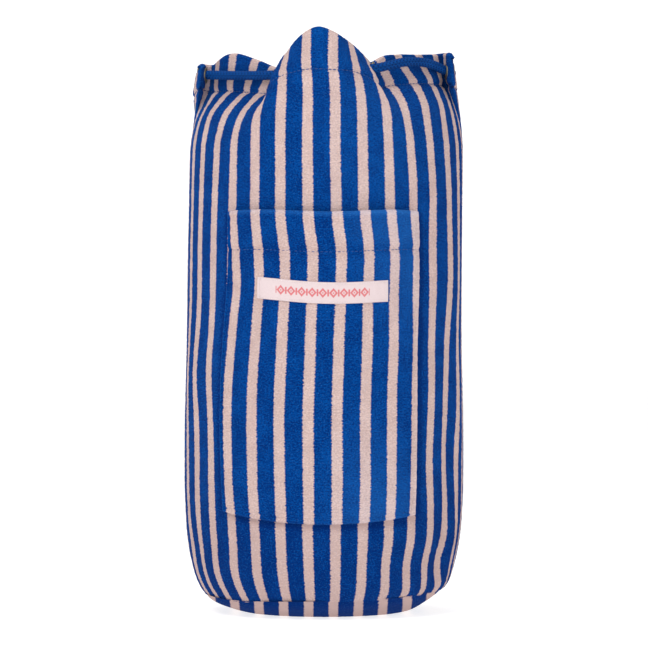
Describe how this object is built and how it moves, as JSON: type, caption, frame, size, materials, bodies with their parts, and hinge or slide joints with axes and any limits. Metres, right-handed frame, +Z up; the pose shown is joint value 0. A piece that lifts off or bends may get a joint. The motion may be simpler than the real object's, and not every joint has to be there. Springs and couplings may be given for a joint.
{
  "type": "drawstring barrel bag",
  "caption": "Upright round-based drawstring sack in striped terry towelling, gathered by a cord through metal eyelets, with a patch pocket, woven label and spring cord lock",
  "frame": {"origin": "middle of the flat disc of the base, on the floor that the bag stands on", "axes": "+Z up along the bag's height; -Y is the front with the pocket; +X is to the right seen from the front"},
  "size_m": [0.1974, 0.2292, 0.404],
  "materials": {
    "towelling": "looped terry towelling, blue with pale pink vertical stripes, matte with a soft pile",
    "thread": "mid-blue polyester sewing thread",
    "binding_tape": "woven herringbone binding tape",
    "lining": "thin plain-woven lining, off-white",
    "label_satin": "woven satin ribbon, pale pink with a coral motif",
    "label_thread": "fine pale thread",
    "eyelet_metal": "nickel-plated, satin",
    "cord": "round braided cotton cord, saturated blue",
    "lock_plastic": "moulded nylon, fine satin texture",
    "spring_steel": "bright drawn wire"
  },
  "bodies": {
    "bag": {"wall_panel": "towelling", "back_seam": "towelling", "mouth_facing": "towelling", "hem_stitching": "thread", "base_panel": "towelling", "base_binding": "binding_tape", "base_stitching": "thread", "lining_wall": "lining", "lining_base": "lining", "pocket_panel": "towelling", "pocket_hem": "towelling", "pocket_stitching": "thread", "label": "label_satin", "label_stitching": "label_thread", "eyelets": "eyelet_metal", "eyelet_washers": "eyelet_metal", "drawcord": "cord", "cord_tail_left": "cord", "cord_tail_right": "cord", "knot_left": "cord", "knot_right": "cord"},
    "cord_lock": {"lock_body": "lock_plastic", "lock_spring": "spring_steel"},
    "lock_button": {"lock_plunger": "lock_plastic"}
  },
  "joints": [
    {"name": "lock_slide", "type": "slide", "parent": "bag", "child": "cord_lock", "axis": [0, 0, -1], "range_m": [0, 0.08]},
    {"name": "button_press", "type": "slide", "parent": "cord_lock", "child": "lock_button", "axis": [0, -1, 0], "range_m": [0, 0.003], "stiffness_N_per_m": 600, "springref_m": -0.003, "deforming": ["lock_spring"]}
  ]
}
